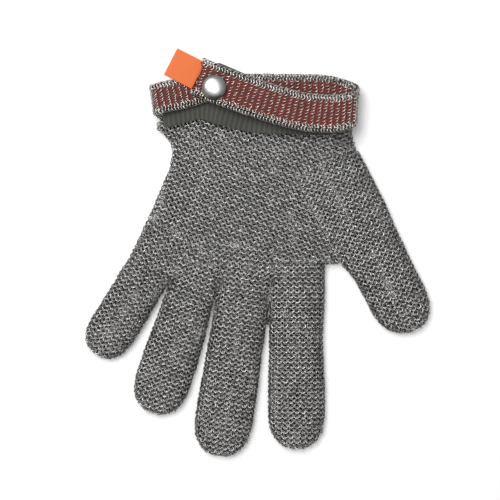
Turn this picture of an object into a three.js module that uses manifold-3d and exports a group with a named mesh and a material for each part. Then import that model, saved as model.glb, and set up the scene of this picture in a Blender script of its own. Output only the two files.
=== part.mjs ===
// A mail glove for the hand, lying flat with the fingers towards -Y and the wrist towards +Y.
// The mail is one hollow hand of linked rings, shown here as a thin wall.
// A strap of webbing in a mail sleeve loops round the wrist and closes with a press stud.
// Lengths are in millimetres, +Z is up and the glove rests on Z = 0.

import * as THREE from 'three';
import { mergeVertices } from 'three/addons/utils/BufferGeometryUtils.js';
import Module from 'manifold-3d';

const wasm = await Module();
wasm.setup();

// Driving dimensions of the mail hand
const PALM_WIDTH = 130;
const PALM_LENGTH = 111.5;
const HAND_THICKNESS = 9;
const MAIL_WALL = 1.5;
const MOUTH_SLANT = 4;
const MOUTH_LIP = 2.2;
const FINGER_LENGTH = 130;
const FINGER_WIDTH = 39.4;

// Driving dimensions of the strap and what is fixed to it
const STRAP_WIDTH = 24.7;
const STRAP_THICKNESS = 3.4;
const SLEEVE_WALL = 0.7;
const LOOP_WIDTH = 134.7;
const STRIP_WIDTH = 16;
const STRIP_THICKNESS = 1.2;
const TONGUE_WIDTH = 20;
const TONGUE_LENGTH = 40;
const TONGUE_THICKNESS = 1;
const TONGUE_CORNER = 6;
const TAB_WIDTH = 19.5;
const TAB_LENGTH = 20.5;
const TAB_THICKNESS = 1;
const CAP_RADIUS = 8.15;
const CAP_RISE = 3.2;
const CAP_RIM = 0.9;
const POST_RADIUS = 2.2;
const BACKING_RADIUS = 5.2;
const BACKING_THICKNESS = 1;

// Space left between two pieces that touch on the real glove
const GAP = 0.3;

// Places in the glove's own plan, before it is centred
const WRIST_Y = 92;
const LOOP_LEFT_X = -63.4;
const LOOP_BACK_Y = WRIST_Y + GAP + STRAP_WIDTH / 2;

// The flattened section of a mail tube, right half, from the floor up
const SECTION = [
  { across: 0.80, up: 0 },
  { across: 0.94, up: 0.12 },
  { across: 1.00, up: 0.42 },
  { across: 0.96, up: 0.66 },
  { across: 0.84, up: 0.86 },
  { across: 0.60, up: 0.96 },
  { across: 0.30, up: 1.00 },
];

// The palm from the wrist to the knuckles. down is a share of PALM_LENGTH, left and right are
// shares of PALM_WIDTH, and thick is a share of HAND_THICKNESS.
const PALM = [
  { down: 0.000, left: -0.470, right: 0.521, thick: 1.10 },
  { down: 0.104, left: -0.480, right: 0.524, thick: 1.10 },
  { down: 0.139, left: -0.442, right: 0.526, thick: 1.10 },
  { down: 0.175, left: -0.412, right: 0.530, thick: 1.09 },
  { down: 0.234, left: -0.396, right: 0.548, thick: 1.07 },
  { down: 0.323, left: -0.412, right: 0.575, thick: 1.04 },
  { down: 0.531, left: -0.488, right: 0.630, thick: 1.01 },
  { down: 0.709, left: -0.554, right: 0.630, thick: 1.00 },
  { down: 0.899, left: -0.638, right: 0.620, thick: 1.00 },
  { down: 0.912, left: -0.644, right: 0.390, thick: 1.00 },
  { down: 1.000, left: -0.682, right: 0.385, thick: 1.00 },
];

// The digits. across and down place the root in the palm, as shares of PALM_WIDTH and
// PALM_LENGTH. lean is the turn in degrees from straight down towards +X. length and width are
// shares of FINGER_LENGTH and FINGER_WIDTH.
const DIGITS = [
  { name: 'little', across: -0.385, down: 0.729, lean: -33.1, length: 0.738, width: 0.865 },
  { name: 'ring', across: -0.218, down: 0.825, lean: -18.7, length: 0.881, width: 0.964 },
  { name: 'middle', across: -0.006, down: 0.902, lean: -9.1, length: 1.000, width: 1.000 },
  { name: 'index', across: 0.240, down: 0.887, lean: 0, length: 0.965, width: 1.000 },
  { name: 'thumb', across: 0.422, down: 0.327, lean: 27.4, length: 0.938, width: 1.030 },
];

// The sides of each digit up to its round tip. along is a share of the digit's length, left
// and right are shares of half its width.
const DIGIT_SIDES = {
  little: [
    { along: 0, left: 1.05, right: 0.86 },
    { along: 0.28, left: 1.03, right: 0.86 },
    { along: 0.48, left: 1.01, right: 0.93 },
    { along: 0.68, left: 0.98, right: 0.99 },
  ],
  ring: [
    { along: 0, left: 0.92, right: 0.86 },
    { along: 0.30, left: 0.94, right: 0.84 },
    { along: 0.46, left: 0.96, right: 0.93 },
    { along: 0.68, left: 1.01, right: 1.00 },
  ],
  middle: [
    { along: 0, left: 0.96, right: 0.95 },
    { along: 0.27, left: 0.94, right: 0.94 },
    { along: 0.47, left: 0.97, right: 0.96 },
    { along: 0.68, left: 1.00, right: 1.02 },
  ],
  index: [
    { along: 0, left: 0.98, right: 0.98 },
    { along: 0.20, left: 0.97, right: 0.97 },
    { along: 0.40, left: 0.97, right: 0.91 },
    { along: 0.68, left: 1.01, right: 0.97 },
  ],
  thumb: [
    { along: 0, left: 1.00, right: 1.03 },
    { along: 0.30, left: 1.10, right: 1.02 },
    { along: 0.50, left: 1.24, right: 0.93 },
    { along: 0.60, left: 1.10, right: 0.92 },
    { along: 0.72, left: 1.09, right: 0.90 },
  ],
};

// The round tip: its depth as a share of the half width, and the angles of its sections
const TIP_DEPTH = 1.1;
const TIP_ANGLES = [0, 24, 44, 61, 77];
const TIP_THINNING = 0.4;

// The strap's middle line, from the free end with the stud, round the right side, along the
// floor, round the left side and back under the free end. across is a share of LOOP_WIDTH from
// the left side and along a share of STRAP_WIDTH from the back half. up is a share of the height
// to which the strap is lifted, and layer says how far it lies on the tongue and the under end.
// lean turns the width of the strap in plan, in degrees.
const STRAP = [
  { across: 0.222, along: 0.372, up: 1.00, layer: 1, lean: 19 },
  { across: 0.325, along: 0.125, up: 1.01, layer: 1, lean: 20 },
  { across: 0.448, along: -0.115, up: 1.04, layer: 1, lean: 21 },
  { across: 0.569, along: -0.335, up: 1.08, layer: 1, lean: 18 },
  { across: 0.690, along: -0.525, up: 1.12, layer: 1, lean: 12 },
  { across: 0.813, along: -0.620, up: 1.13, layer: 1, lean: 7 },
  { across: 0.920, along: -0.600, up: 1.11, layer: 0.94, lean: 4 },
  { across: 0.973, along: -0.500, up: 0.95, layer: 0.80, lean: 4 },
  { across: 0.990, along: -0.370, up: 0.55, layer: 0.50, lean: 4 },
  { across: 0.972, along: -0.240, up: 0.15, layer: 0.20, lean: 3 },
  { across: 0.922, along: -0.120, up: 0, layer: 0, lean: 1 },
  { across: 0.842, along: -0.030, up: 0, layer: 0, lean: 0 },
  { across: 0.668, along: 0, up: 0, layer: 0, lean: 0 },
  { across: 0.371, along: 0, up: 0, layer: 0, lean: 0 },
  { across: 0.173, along: -0.054, up: 0, layer: 0, lean: 0 },
  { across: 0.100, along: -0.130, up: 0, layer: 0, lean: 0 },
  { across: 0.043, along: -0.200, up: 0, layer: 0, lean: -3 },
  { across: 0.013, along: -0.270, up: 0.146, layer: 0, lean: -5 },
  { across: 0, along: -0.320, up: 0.50, layer: 0, lean: -8 },
  { across: 0.013, along: -0.320, up: 0.854, layer: 0, lean: -10 },
  { across: 0.043, along: -0.280, up: 1.00, layer: 0, lean: -12 },
  { across: 0.173, along: -0.130, up: 1.00, layer: 0, lean: -14 },
  { across: 0.282, along: 0.060, up: 1.00, layer: 0, lean: -15 },
  { across: 0.361, along: 0.170, up: 1.00, layer: 0, lean: -15 },
];
const STRAP_STEPS = 64;

// The grey strip over the wrist edge of the mail, left to right. rest is the share of the mail's
// thickness on which it lies, and the other columns are as for the strap.
const STRIP = [
  { across: 0.045, along: -0.640, rest: 0.72, lean: -4 },
  { across: 0.114, along: -0.547, rest: 0.88, lean: -8 },
  { across: 0.223, along: -0.420, rest: 0.96, lean: -2 },
  { across: 0.322, along: -0.555, rest: 1.00, lean: 14 },
  { across: 0.421, along: -0.700, rest: 1.00, lean: 14 },
  { across: 0.530, along: -0.790, rest: 1.00, lean: 6 },
  { across: 0.669, along: -0.810, rest: 1.00, lean: 2 },
  { across: 0.817, along: -0.830, rest: 0.97, lean: 0 },
  { across: 0.892, along: -0.800, rest: 0.88, lean: -3 },
];
const STRIP_STEPS = 24;

// Places of what is fixed to the strap, with columns as for the strap. The tongue and the tab
// are placed by the middle of their left end, and turn is in degrees about +Z.
const STUD_PLACE = { across: 0.296, along: 0.075 };
const TONGUE_PLACE = { across: 0.264, along: 0.444, turn: -23.6 };
const TAB_PLACE = { across: 0.083, along: 0.782, turn: -27 };

// What the strap lies on: the mail at the mouth with the strip on it, and then the tongue
const MOUTH_THICKNESS = PALM[0].thick * HAND_THICKNESS;
const LOOP_RISE = MOUTH_THICKNESS + STRIP_THICKNESS + 2 * GAP;
const LAYER_RISE = STRAP_THICKNESS + TONGUE_THICKNESS + 2 * GAP;
const TONGUE_LEVEL = LOOP_RISE + STRAP_THICKNESS + GAP;

// Materials
const steelMail = new THREE.MeshStandardMaterial({ color: 0x77757a, roughness: 0.42, metalness: 0.9 });
const redWebbing = new THREE.MeshStandardMaterial({ color: 0x7a2e26, roughness: 0.9, metalness: 0 });
const greyTextile = new THREE.MeshStandardMaterial({ color: 0x575249, roughness: 0.9, metalness: 0 });
const satinSteel = new THREE.MeshStandardMaterial({ color: 0xb9b8b2, roughness: 0.3, metalness: 1 });
const orangeTape = new THREE.MeshStandardMaterial({ color: 0xf3814d, roughness: 0.6, metalness: 0 });

// Fineness of the meshes: points nearer than MERGE_DISTANCE are one
const MERGE_DISTANCE = 1e-4;
const TURNED_SEGMENTS = 28;
const DOME_STEPS = 6;
const CORNER_STEPS = 6;

// Solids and meshes
const toSolid = (geometry) => {
  const bare = geometry.index ? geometry.toNonIndexed() : geometry.clone();
  bare.deleteAttribute('normal');
  bare.deleteAttribute('uv');
  const merged = mergeVertices(bare, MERGE_DISTANCE);
  return new wasm.Manifold(new wasm.Mesh({
    numProp: 3,
    vertProperties: merged.attributes.position.array,
    triVerts: new Uint32Array(merged.index.array),
  }));
};

const toGeometry = (solid) => {
  const data = solid.getMesh();
  const geometry = new THREE.BufferGeometry();
  geometry.setAttribute('position', new THREE.BufferAttribute(new Float32Array(data.vertProperties), 3));
  geometry.setIndex(new THREE.BufferAttribute(new Uint32Array(data.triVerts), 1));
  geometry.computeVertexNormals();
  return geometry;
};

const join = (solids) => solids.reduce((all, solid) => all.add(solid));

const largerOf = (one, other) => (other.volume() > one.volume() ? other : one);
const largestOf = (solid) => solid.decompose().reduce(largerOf);

// A closed body through loops of points, one loop for each section, all with the same number of
// points and each turning the same way.
const loft = (loops) => {
  const count = loops[0].length;
  const places = loops.flat().flatMap((p) => [p.x, p.y, p.z]);
  const faces = [];
  for (let row = 0; row + 1 < loops.length; row += 1) {
    for (let i = 0; i < count; i += 1) {
      const next = (i + 1) % count;
      const a = row * count + i;
      const b = row * count + next;
      faces.push(a, b, b + count, a, b + count, a + count);
    }
  }
  const last = (loops.length - 1) * count;
  for (let i = 1; i + 1 < count; i += 1) {
    faces.push(0, i + 1, i, last, last + i, last + i + 1);
  }
  const geometry = new THREE.BufferGeometry();
  geometry.setAttribute('position', new THREE.Float32BufferAttribute(places, 3));
  geometry.setIndex(faces);
  const solid = toSolid(geometry);
  if (solid.volume() > 0) {
    return solid;
  }
  geometry.setIndex(faces.map((_, k) => faces[k - (k % 3) + [0, 2, 1][k % 3]]));
  return toSolid(geometry);
};

// Mail tubes
const mailLoop = (middle, side, halfWidth, thickness, inset) => {
  const wide = halfWidth - inset;
  const high = thickness - 2 * inset;
  const right = SECTION.map((s) => ({ x: s.across * wide, z: inset + s.up * high }));
  const left = [...right].reverse().map((s) => ({ x: -s.x, z: s.z }));
  return [...right, ...left].map((s) => middle.clone().addScaledVector(side, s.x).setZ(s.z));
};

const palmTube = (inset) => {
  const side = new THREE.Vector3(1, 0, 0);
  const loops = PALM.map((row, i) => {
    const left = row.left * PALM_WIDTH;
    const right = row.right * PALM_WIDTH;
    const end = (i === 0 ? inset : 0) - (i === PALM.length - 1 ? inset : 0);
    const y = WRIST_Y - row.down * PALM_LENGTH + end;
    const middle = new THREE.Vector3((left + right) / 2, y, 0);
    return mailLoop(middle, side, (right - left) / 2, row.thick * HAND_THICKNESS, inset);
  });
  return loft(loops);
};

const digitTube = (digit, inset) => {
  const lean = THREE.MathUtils.degToRad(digit.lean);
  const along = new THREE.Vector3(Math.sin(lean), -Math.cos(lean), 0);
  const side = new THREE.Vector3(-along.y, along.x, 0);
  const root = new THREE.Vector3(digit.across * PALM_WIDTH, WRIST_Y - digit.down * PALM_LENGTH, 0);
  const length = digit.length * FINGER_LENGTH;
  const half = digit.width * FINGER_WIDTH / 2;
  const depth = TIP_DEPTH * half;
  const across = (row, reach, thickness, narrow, edge) => {
    const left = row.left * half * narrow;
    const right = row.right * half * narrow;
    const middle = root.clone().addScaledVector(along, reach).addScaledVector(side, (right - left) / 2);
    return mailLoop(middle, side, (left + right) / 2, thickness, edge);
  };
  const sides = DIGIT_SIDES[digit.name];
  const loops = sides.map((row) => across(row, row.along * length, HAND_THICKNESS, 1, inset));
  const lastSine = Math.sin(THREE.MathUtils.degToRad(TIP_ANGLES.at(-1)));
  for (const degrees of TIP_ANGLES) {
    const angle = THREE.MathUtils.degToRad(degrees);
    const narrow = Math.cos(angle);
    const reach = length - depth + (depth - inset) * (Math.sin(angle) / lastSine);
    const thickness = HAND_THICKNESS * (1 - TIP_THINNING * (1 - narrow));
    loops.push(across(sides.at(-1), reach, thickness, narrow, inset * Math.sqrt(narrow)));
  }
  return loft(loops);
};

// The wrist edge slants back from the floor layer to the upper layer
const mouthCut = () => {
  const top = 2 * HAND_THICKNESS;
  const reach = MOUTH_SLANT + PALM_LENGTH / 4;
  const profile = new THREE.Shape([
    new THREE.Vector2(WRIST_Y, MOUTH_LIP),
    new THREE.Vector2(WRIST_Y + reach, MOUTH_LIP),
    new THREE.Vector2(WRIST_Y + reach, top),
    new THREE.Vector2(WRIST_Y - MOUTH_SLANT, top),
    new THREE.Vector2(WRIST_Y - MOUTH_SLANT, HAND_THICKNESS - MAIL_WALL),
  ]);
  const span = 2 * PALM_WIDTH;
  const geometry = new THREE.ExtrudeGeometry(profile, { depth: span, bevelEnabled: false });
  // The profile's X and Y become the glove's Y and Z
  const turn = new THREE.Matrix4().set(0, 0, 1, -span / 2, 1, 0, 0, 0, 0, 1, 0, 0, 0, 0, 0, 1);
  geometry.applyMatrix4(turn);
  return toSolid(geometry);
};

// Bands
const onLoop = (row) => new THREE.Vector3(
  LOOP_LEFT_X + row.across * LOOP_WIDTH,
  LOOP_BACK_Y + row.along * STRAP_WIDTH,
  STRAP_THICKNESS / 2 + (row.up ?? 0) * LOOP_RISE + (row.layer ?? 0) * LAYER_RISE,
);

const onMouth = (row) => onLoop(row).setZ(row.rest * MOUTH_THICKNESS + GAP + STRIP_THICKNESS / 2);

const bandFrames = (middles, rows, steps) => {
  const path = new THREE.CatmullRomCurve3(middles, false, 'centripetal');
  const leans = new THREE.CatmullRomCurve3(rows.map((row, i) => new THREE.Vector3(i, row.lean, 0)));
  const lowest = Math.min(...middles.map((middle) => middle.z));
  const frames = [];
  for (let i = 0; i <= steps; i += 1) {
    const t = i / steps;
    const lean = THREE.MathUtils.degToRad(leans.getPoint(t).y);
    const tangent = path.getTangent(t);
    const wide = new THREE.Vector3(Math.sin(lean), Math.cos(lean), 0);
    const face = new THREE.Vector3().crossVectors(wide, tangent).normalize();
    const middle = path.getPoint(t);
    middle.setZ(Math.max(middle.z, lowest));
    frames.push({ middle, tangent, wide, face });
  }
  return frames;
};

const band = (frames, width, thickness, overrun = 0) => {
  const w = width / 2;
  const t = thickness / 2;
  const corner = Math.min(t, w) / 2;
  const section = [[w, -t + corner], [w, t - corner], [w - corner, t], [-w + corner, t],
    [-w, t - corner], [-w, -t + corner], [-w + corner, -t], [w - corner, -t]];
  const loops = frames.map((frame, i) => {
    const push = (i === 0 ? -overrun : 0) + (i === frames.length - 1 ? overrun : 0);
    const middle = frame.middle.clone().addScaledVector(frame.tangent, push);
    const at = ([u, v]) => middle.clone().addScaledVector(frame.wide, u).addScaledVector(frame.face, v);
    return section.map(at);
  });
  return loft(loops);
};

// Turned pieces on the stud's axis, from a closed profile of radius and height
const turned = (profile) => {
  const points = profile.map(([radius, height]) => new THREE.Vector2(radius, height));
  const geometry = new THREE.LatheGeometry(points, TURNED_SEGMENTS);
  geometry.rotateX(Math.PI / 2);
  const place = onLoop(STUD_PLACE);
  geometry.translate(place.x, place.y, 0);
  return toSolid(geometry);
};

// A flat plate from the middle of its left end, whose corners may be round
const plate = (width, length, thickness, corner, place, level) => {
  const shape = new THREE.Shape();
  const y = width / 2;
  shape.moveTo(corner, -y);
  shape.lineTo(length, -y);
  shape.lineTo(length, y);
  shape.lineTo(corner, y);
  if (corner > 0) {
    shape.absarc(corner, y - corner, corner, Math.PI / 2, Math.PI, false);
    shape.absarc(corner, -y + corner, corner, Math.PI, Math.PI * 1.5, false);
  }
  const options = { depth: thickness, bevelEnabled: false, curveSegments: CORNER_STEPS };
  const geometry = new THREE.ExtrudeGeometry(shape, options);
  geometry.rotateZ(THREE.MathUtils.degToRad(place.turn));
  const spot = onLoop(place);
  geometry.translate(spot.x, spot.y, level);
  return toSolid(geometry);
};

// The strap, its sleeve and the strip
const strapFrames = bandFrames(STRAP.map(onLoop), STRAP, STRAP_STEPS);
const stripFrames = bandFrames(STRIP.map(onMouth), STRIP, STRIP_STEPS);
const strapRoom = band(strapFrames, STRAP_WIDTH + 2 * GAP, STRAP_THICKNESS + 2 * GAP, GAP);
const stripRoom = band(stripFrames, STRIP_WIDTH + 2 * GAP, STRIP_THICKNESS + 2 * GAP, GAP);
const sleeveBore = band(strapFrames, STRAP_WIDTH - 2 * SLEEVE_WALL, STRAP_THICKNESS - 2 * SLEEVE_WALL, GAP);
const webInset = 2 * (SLEEVE_WALL + GAP);

// Levels of the strap's two layers at the stud
const underBottom = LOOP_RISE;
const outerTop = TONGUE_LEVEL + TONGUE_THICKNESS + GAP + STRAP_THICKNESS;

// The press stud: a domed cap with its rivet above, a backing with its stud below
const domeProfile = Array.from({ length: DOME_STEPS + 1 }, (_, i) => {
  const angle = (Math.PI / 2) * (i / DOME_STEPS);
  return [CAP_RADIUS * Math.cos(angle), outerTop + 2 * GAP + CAP_RIM + CAP_RISE * Math.sin(angle)];
});
domeProfile[DOME_STEPS][0] = 0;
const rivetEnd = TONGUE_LEVEL + TONGUE_THICKNESS / 2;
const snapCap = turned([
  [0, rivetEnd],
  [POST_RADIUS, rivetEnd],
  [POST_RADIUS, outerTop + 2 * GAP],
  [CAP_RADIUS, outerTop + 2 * GAP],
  ...domeProfile,
]);
const snapBacking = turned([
  [0, underBottom - 2 * GAP - BACKING_THICKNESS],
  [BACKING_RADIUS, underBottom - 2 * GAP - BACKING_THICKNESS],
  [BACKING_RADIUS, underBottom - 2 * GAP],
  [POST_RADIUS, underBottom - 2 * GAP],
  [POST_RADIUS, rivetEnd - GAP],
  [0, rivetEnd - GAP],
]);
const studHole = turned([
  [0, underBottom - STRAP_THICKNESS],
  [POST_RADIUS + GAP, underBottom - STRAP_THICKNESS],
  [POST_RADIUS + GAP, outerTop + STRAP_THICKNESS],
  [0, outerTop + STRAP_THICKNESS],
]);

const mailHand = largestOf(join([palmTube(0), ...DIGITS.map((digit) => digitTube(digit, 0))])
  .subtract(join([palmTube(MAIL_WALL), ...DIGITS.map((digit) => digitTube(digit, MAIL_WALL))]))
  .subtract(mouthCut())
  .subtract(strapRoom)
  .subtract(stripRoom));
const strapSleeve = band(strapFrames, STRAP_WIDTH, STRAP_THICKNESS).subtract(sleeveBore).subtract(studHole);
const strapWeb = band(strapFrames, STRAP_WIDTH - webInset, STRAP_THICKNESS - webInset).subtract(studHole);
const cuffStrip = largestOf(band(stripFrames, STRIP_WIDTH, STRIP_THICKNESS).subtract(strapRoom));
const tongueSize = [TONGUE_WIDTH, TONGUE_LENGTH, TONGUE_THICKNESS, TONGUE_CORNER];
const tongue = plate(...tongueSize, TONGUE_PLACE, TONGUE_LEVEL).subtract(studHole);
const pullTab = plate(TAB_WIDTH, TAB_LENGTH, TAB_THICKNESS, 0, TAB_PLACE, TONGUE_LEVEL);

// The whole glove, with its origin under the middle of its box
const glove = new THREE.Group();
const pieces = [
  ['mail_hand', mailHand, steelMail],
  ['strap_sleeve', strapSleeve, steelMail],
  ['strap_web', strapWeb, redWebbing],
  ['cuff_strip', cuffStrip, greyTextile],
  ['closure_tongue', tongue, greyTextile],
  ['snap_cap', snapCap, satinSteel],
  ['snap_backing', snapBacking, satinSteel],
  ['pull_tab', pullTab, orangeTape],
];
for (const [name, solid, material] of pieces) {
  const mesh = new THREE.Mesh(toGeometry(solid), material);
  mesh.name = name;
  glove.add(mesh);
}
const box = new THREE.Box3().setFromObject(glove);
glove.position.set(-(box.min.x + box.max.x) / 2, -(box.min.y + box.max.y) / 2, -box.min.z);

export default glove;
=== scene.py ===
# %% [markdown]
# # A mail glove with a wrist strap
# The glove is a hand of small steel rings, each linked to four others, with a webbing strap that
# runs in a sleeve of the same rings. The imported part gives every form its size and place. This
# script lays the rings, the webbing and the press stud over those forms.

# %% Load the part
import bpy
import math
import numpy as np
from mathutils import Matrix, Vector
from mathutils.bvhtree import BVHTree


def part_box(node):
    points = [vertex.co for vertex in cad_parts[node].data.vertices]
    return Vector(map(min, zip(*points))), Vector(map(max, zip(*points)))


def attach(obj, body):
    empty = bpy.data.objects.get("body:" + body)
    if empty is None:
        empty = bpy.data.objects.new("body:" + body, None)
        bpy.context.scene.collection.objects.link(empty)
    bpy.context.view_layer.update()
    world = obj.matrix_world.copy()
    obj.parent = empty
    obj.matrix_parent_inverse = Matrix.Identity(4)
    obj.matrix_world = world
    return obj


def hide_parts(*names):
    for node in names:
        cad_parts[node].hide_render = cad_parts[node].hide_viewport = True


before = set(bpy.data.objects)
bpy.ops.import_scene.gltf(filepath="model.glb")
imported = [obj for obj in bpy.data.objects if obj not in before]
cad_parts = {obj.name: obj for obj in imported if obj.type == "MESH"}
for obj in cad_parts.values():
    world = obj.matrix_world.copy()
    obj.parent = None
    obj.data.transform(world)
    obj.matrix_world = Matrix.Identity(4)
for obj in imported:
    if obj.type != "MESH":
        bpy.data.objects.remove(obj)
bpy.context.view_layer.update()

# Lengths are in millimetres here, and MM turns them into Blender's metres
MM = 0.001
rng = np.random.default_rng(seed=7)

# %% [markdown]
# ## Materials as plain arithmetic
# A finish is a small net of nodes. Wiring each one by hand is long, so a socket is wrapped in a
# class that understands plus, minus and times. An expression then reads like the sum it stands
# for, and one method makes any other node.

# %% A socket that can be added and multiplied
class Signal:
    def __init__(self, finish, socket):
        self.finish = finish
        self.socket = socket

    def sum(self, operation, first, second=0.0):
        return self.finish.node("ShaderNodeMath", {"operation": operation}, {0: first, 1: second})

    def __add__(self, other):
        return self.sum("ADD", self, other)

    def __radd__(self, other):
        return self.sum("ADD", other, self)

    def __sub__(self, other):
        return self.sum("SUBTRACT", self, other)

    def __rsub__(self, other):
        return self.sum("SUBTRACT", other, self)

    def __mul__(self, other):
        return self.sum("MULTIPLY", self, other)

    def __rmul__(self, other):
        return self.sum("MULTIPLY", other, self)

    def __pow__(self, other):
        return self.sum("POWER", self, other)

    def wave(self):
        return self.sum("SINE", self) * 0.5 + 0.5


class Finish:
    def __init__(self, name):
        self.material = bpy.data.materials.new(name)
        self.material.use_nodes = True
        self.tree = self.material.node_tree
        self.shader = self.tree.nodes["Principled BSDF"]

    def node(self, kind, settings=None, values=None, output=0):
        made = self.tree.nodes.new(kind)
        for key, value in (settings or {}).items():
            setattr(made, key, value)
        self.join(made, values or {})
        return Signal(self, made.outputs[output])

    def join(self, made, values):
        for key, value in values.items():
            if isinstance(value, Signal):
                self.tree.links.new(value.socket, made.inputs[key])
            else:
                made.inputs[key].default_value = value

    def mix(self, factor, first, second):
        # A Mix node's colours come in at its sockets 6 and 7, and leave it at its output 2
        settings = {"data_type": "RGBA"}
        return self.node("ShaderNodeMix", settings, {0: factor, 6: first, 7: second}, 2)

    def noise(self, where, scale, detail=2.0):
        values = {"Vector": where, "Scale": scale, "Detail": detail}
        return self.node("ShaderNodeTexNoise", None, values)

    def place(self, output="Object"):
        return self.node("ShaderNodeTexCoord", None, None, output)

    def surface(self, **values):
        self.join(self.shader, {key.replace("_", " "): value for key, value in values.items()})
        return self.material


def grey(value, warm=0.0):
    return (value * (1 + warm), value, value * (1 - warm), 1.0)

# %% [markdown]
# ## Steel of the rings
# Each ring takes a little of its own brightness, as one ring is more worn than its neighbour.
# The wire gets a painted highlight where it stands up and faces out, and painted shade, nearly
# black, where it dips between its neighbours and turns inwards. Both come as numbers on the ring's
# points, so one material does for thousands of rings. The strap's rings are painted brighter, a
# lit copy of the same steel, and a little warmer as a painted reflection of the red cloth.

# %% The ring finish
# Painted shade: the near-black colour of the wire where it dips between the rings
PAINTED_DIP_SHADE = grey(0.008, 0.08)
TONE_LOW, TONE_SPAN = 0.55, 0.6


def ring_finish(name, bright, warm):
    steel = Finish(name)
    tone = steel.node("ShaderNodeAttribute", {"attribute_name": "tone"}, None, "Fac")
    painted_light_and_polish = steel.node("ShaderNodeAttribute", {"attribute_name": "painted_light_and_polish"}, None, "Fac")
    cloud = steel.noise(steel.place(), 90.0)
    # Random tone of each ring, times its painted highlight and painted shade
    tone_and_painted_light = painted_light_and_polish * (TONE_LOW + TONE_SPAN * tone)
    return steel.surface(
        Base_Color=steel.mix(tone_and_painted_light, PAINTED_DIP_SHADE, grey(bright, warm)),
        Metallic=1.0,
        Roughness=0.42 - 0.16 * painted_light_and_polish + 0.08 * cloud,
    )


MAIL_STEEL = ring_finish("mail_steel", bright=0.59, warm=0.03)
# A lit copy of the same steel: painted brighter, and painted warm as a reflection of the red cloth
SLEEVE_STEEL_PAINTED_LIGHT = ring_finish("sleeve_steel_painted_light", bright=0.80, warm=0.07)
print("finishes:", MAIL_STEEL.name, SLEEVE_STEEL_PAINTED_LIGHT.name)

# %% [markdown]
# ## The shape under the rings
# The hand in the part is a closed, hollow skin. Rays cast straight down and straight up through
# it find its upper and lower side above any point of the floor. That is enough to lead a row of
# rings over the top, round the edge and back underneath.

# %% Rays onto the hand
def ray_tree(node):
    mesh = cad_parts[node].data
    points = [vertex.co.copy() for vertex in mesh.vertices]
    faces = [tuple(polygon.vertices) for polygon in mesh.polygons]
    return BVHTree.FromPolygons(points, faces)


HAND = ray_tree("mail_hand")
DOWN = Vector((0, 0, -1))
UP = Vector((0, 0, 1))
RAY_START = 0.1


def top_and_bottom(x, y):
    above = HAND.ray_cast(Vector((x * MM, y * MM, RAY_START)), DOWN)[0]
    if above is None:
        return None
    below = HAND.ray_cast(Vector((x * MM, y * MM, -RAY_START)), UP)[0]
    return above.z / MM, below.z / MM


print("palm, lower and upper side, mm:", top_and_bottom(0, 30))

# %% [markdown]
# ## Fingers and palm
# A mail glove is made of tubes: one for each finger, sewn with rings onto a flat palm. The rows
# of rings cross each tube squarely, so every region has its own direction. The table gives where
# each digit starts and which way it leans.

# %% Regions with a direction of their own
LOOP_LEFT, LOOP_BACK, LOOP_WIDTH = -63.4, 104.65, 134.7
STRAP_WIDTH, STRAP_THICKNESS = 24.7, 3.4
STUD_PLACE = (0.296, 0.075)

# The part is centred on its box, and the stud's cap tells by how much its plan was moved
cap_low, cap_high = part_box("snap_cap")
SHIFT = np.array(((cap_low.x + cap_high.x) / 2 / MM - LOOP_LEFT - STUD_PLACE[0] * LOOP_WIDTH,
                  (cap_low.y + cap_high.y) / 2 / MM - LOOP_BACK - STUD_PLACE[1] * STRAP_WIDTH, 0.0))
print("plan moved by, mm:", SHIFT.round(3))

DIGITS = [
    {"name": "little", "root": (-50.1, 10.7), "lean": -33.1, "half": 17.0, "start": 0.0},
    {"name": "ring", "root": (-28.3, 0.0), "lean": -18.7, "half": 19.0, "start": 10.0},
    {"name": "middle", "root": (-0.8, -8.6), "lean": -9.1, "half": 19.7, "start": -10.0},
    {"name": "index", "root": (31.2, -6.9), "lean": 0.0, "half": 19.7, "start": 0.0},
    {"name": "thumb", "root": (54.9, 55.5), "lean": 27.4, "half": 20.3, "start": -5.0},
]
PALM = {"name": "palm", "root": (4.4, 92.5), "lean": -23.0, "half": 160.0, "start": -70.0}
for region in DIGITS + [PALM]:
    region["root"] = np.array(region["root"]) + SHIFT[:2]

# A digit's rows end at this share of its half width, and the palm's rows go on from there
DIGIT_REACH = 1.25


def directions(region):
    lean = math.radians(region["lean"])
    along = np.array((math.sin(lean), -math.cos(lean)))
    across = np.array((-along[1], along[0]))
    return along, across


def region_at(x, y):
    best, name = DIGIT_REACH, "palm"
    for digit in DIGITS:
        along, across = directions(digit)
        offset = np.array((x, y)) - digit["root"]
        share = abs(offset @ across) / digit["half"]
        if offset @ along > digit["start"] and share < best:
            best, name = share, digit["name"]
    return name


print("regions:", [digit["name"] for digit in DIGITS] + [PALM["name"]])

# %% [markdown]
# ## The weave
# In this weave every ring goes through four neighbours. Rows lie half a ring apart and lean by
# turns towards the fingertips and the wrist. Only the pitch along a row, the distance between
# rows and the lean need numbers, all taken from the rings themselves.

# %% Numbers of the weave
RING_PITCH = 4.0
ROW_PITCH = 1.667
RING_RADIUS = 1.60
WIRE_RADIUS = 0.29
RING_TILT = math.radians(16)
RING_DEPTH = 1.1
print("ring, outside, mm:", round(2 * (RING_RADIUS + WIRE_RADIUS), 2))

# %% [markdown]
# ## Where rings already lie
# Each new ring has to know whether another one is near. To measure against thousands of rings
# would be slow, so they are sorted into small cells, and only the cells round a place are
# searched. A ring that would stand out past the hand's edge is first drawn in.

# %% Keep and find rings
CELL_SIZE = 3.0
NONE_NEAR = 9.0
PULL_STEPS, PULL_STEP = 4, 0.4
AHEAD_REACH = 0.9


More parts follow.
